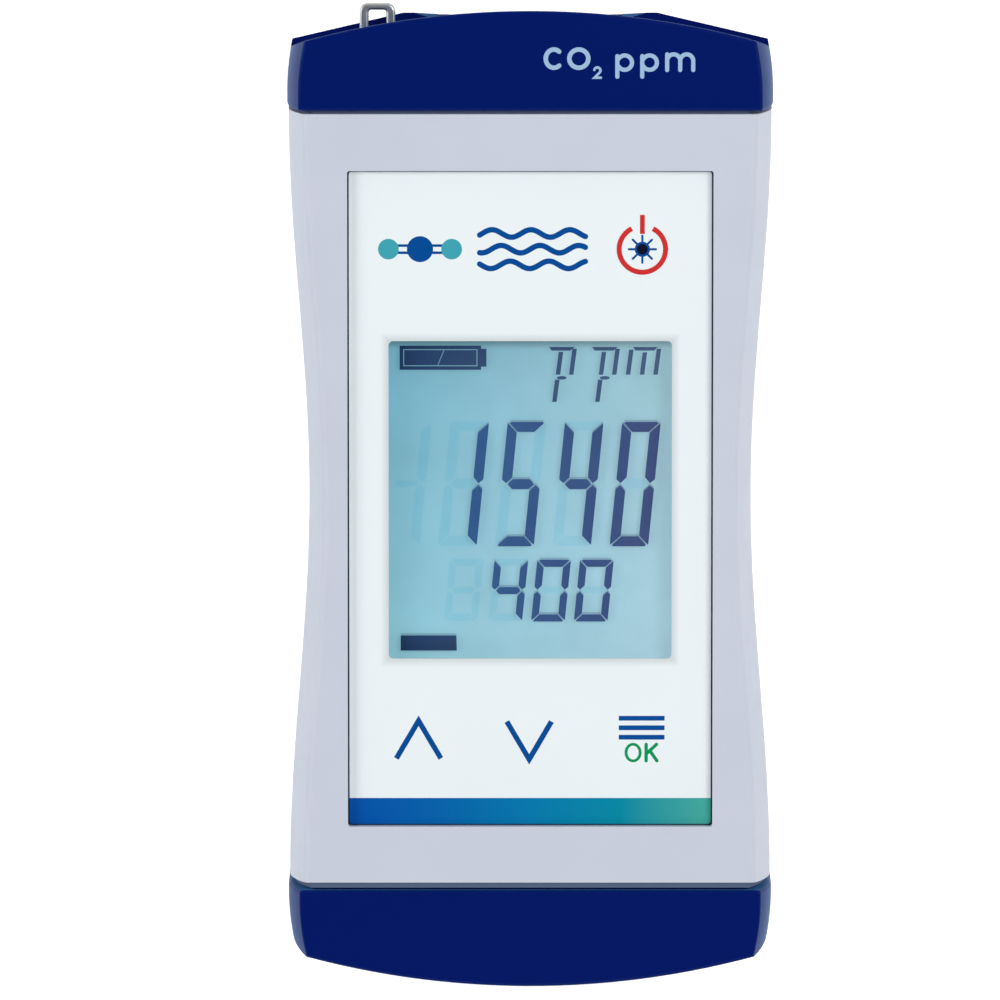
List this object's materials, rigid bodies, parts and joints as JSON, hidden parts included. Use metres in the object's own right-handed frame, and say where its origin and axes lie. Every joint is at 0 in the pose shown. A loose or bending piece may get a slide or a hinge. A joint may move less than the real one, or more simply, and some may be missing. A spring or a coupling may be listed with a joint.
{
  "type": "carbon dioxide monitor",
  "caption": "Hand-held carbon dioxide monitor: waisted grey case, dark blue end caps, display window, flat keypad and a lanyard eye; the lower cap pulls off for the batteries.",
  "frame": {"origin": "middle of the flat back, where the instrument rests on a table", "axes": "+Z leaves the display, +Y points to the end with the lanyard eye, +X is to the right seen from the front"},
  "size_m": [0.054, 0.1091, 0.028],
  "materials": {
    "case_plastic": "fine moulded texture, light blue-grey",
    "cap_plastic": "fine moulded texture, deep navy blue",
    "seal_rubber": "slate blue, matt",
    "bright_steel": "polished stainless steel",
    "spring_steel": "nickel plated",
    "keypad_film": "matt printed polyester, white with coloured symbols",
    "clear_film": "polyester",
    "window_pane": "clear, glossy",
    "polariser_film": "clear film",
    "display_glass": "clear",
    "reflector_film": "pale blue-green, softly lit",
    "light_guide": "diffusing",
    "black_plastic": "moulded",
    "contact_rubber": "striped conductive rubber",
    "circuit_board": "green solder mask",
    "chip_plastic": "moulded epoxy",
    "chip_ceramic": "ceramic",
    "ferrite": "ferrite with copper winding",
    "connector_plastic": "natural nylon",
    "gold_coating": "gold coated",
    "brass": "machined",
    "membrane": "white porous membrane",
    "foam_rubber": "closed-cell foam",
    "cell_sleeve": "plain sleeve over steel",
    "label_film": "satin silver film, blank"
  },
  "bodies": {
    "case": {"aa_cells": "cell_sleeve", "battery_holder": "black_plastic", "board_screws": "bright_steel", "buzzer": "black_plastic", "capacitors": "chip_ceramic", "case_screws": "bright_steel", "clock_crystal": "bright_steel", "display_window": "window_pane", "down_dome": "spring_steel", "front_overlay": "keypad_film", "front_shell": "case_plastic", "infrared_detector": "bright_steel", "infrared_lamp": "display_glass", "inner_contacts": "spring_steel", "inner_spring": "spring_steel", "keypad_circuit": "clear_film", "keypad_connector": "connector_plastic", "keypad_spacer": "clear_film", "lanyard_eye": "bright_steel", "lcd_backlight": "light_guide", "lcd_frame": "black_plastic", "lcd_glass": "display_glass", "lcd_polariser": "polariser_film", "lcd_reflector": "reflector_film", "lcd_zebra_strips": "contact_rubber", "main_board": "circuit_board", "memory_chip": "chip_plastic", "menu_dome": "spring_steel", "microcontroller": "chip_plastic", "power_dome": "spring_steel", "power_inductor": "ferrite", "rear_label": "label_film", "rear_shell": "case_plastic", "screw_insert": "brass", "sensor_board": "circuit_board", "sensor_cavity": "gold_coating", "sensor_gasket": "foam_rubber", "sensor_pins": "brass", "top_cap": "cap_plastic", "top_cap_screws": "bright_steel", "top_cap_seal": "seal_rubber", "up_dome": "spring_steel", "vent_membrane": "membrane"},
    "power_key": {"power_key": "keypad_film"},
    "up_key": {"up_key": "keypad_film"},
    "down_key": {"down_key": "keypad_film"},
    "menu_key": {"menu_key": "keypad_film"},
    "battery_cap": {"battery_cap": "cap_plastic", "battery_cap_seal": "seal_rubber", "cap_contact": "spring_steel", "cap_spring": "spring_steel"},
    "battery_cap_screw": {"battery_cap_screw": "bright_steel"}
  },
  "joints": [
    {"name": "power_key_press", "type": "slide", "parent": "case", "child": "power_key", "axis": [0, 0, -1], "range_m": [0, 0.00025], "stiffness_N_per_m": 8000, "springref_m": -0.0001, "deforming": ["power_dome"]},
    {"name": "up_key_press", "type": "slide", "parent": "case", "child": "up_key", "axis": [0, 0, -1], "range_m": [0, 0.00025], "stiffness_N_per_m": 8000, "springref_m": -0.0001, "deforming": ["up_dome"]},
    {"name": "down_key_press", "type": "slide", "parent": "case", "child": "down_key", "axis": [0, 0, -1], "range_m": [0, 0.00025], "stiffness_N_per_m": 8000, "springref_m": -0.0001, "deforming": ["down_dome"]},
    {"name": "menu_key_press", "type": "slide", "parent": "case", "child": "menu_key", "axis": [0, 0, -1], "range_m": [0, 0.00025], "stiffness_N_per_m": 8000, "springref_m": -0.0001, "deforming": ["menu_dome"]},
    {"name": "battery_cap_slide", "type": "slide", "parent": "case", "child": "battery_cap", "axis": [0, -1, 0], "range_m": [0, 0.018]},
    {"name": "battery_cap_screw_turn", "type": "hinge", "parent": "battery_cap", "child": "battery_cap_screw", "pos_m": [0, -0.0466, 0.0046], "axis": [0, 1, 0], "continuous": true}
  ]
}
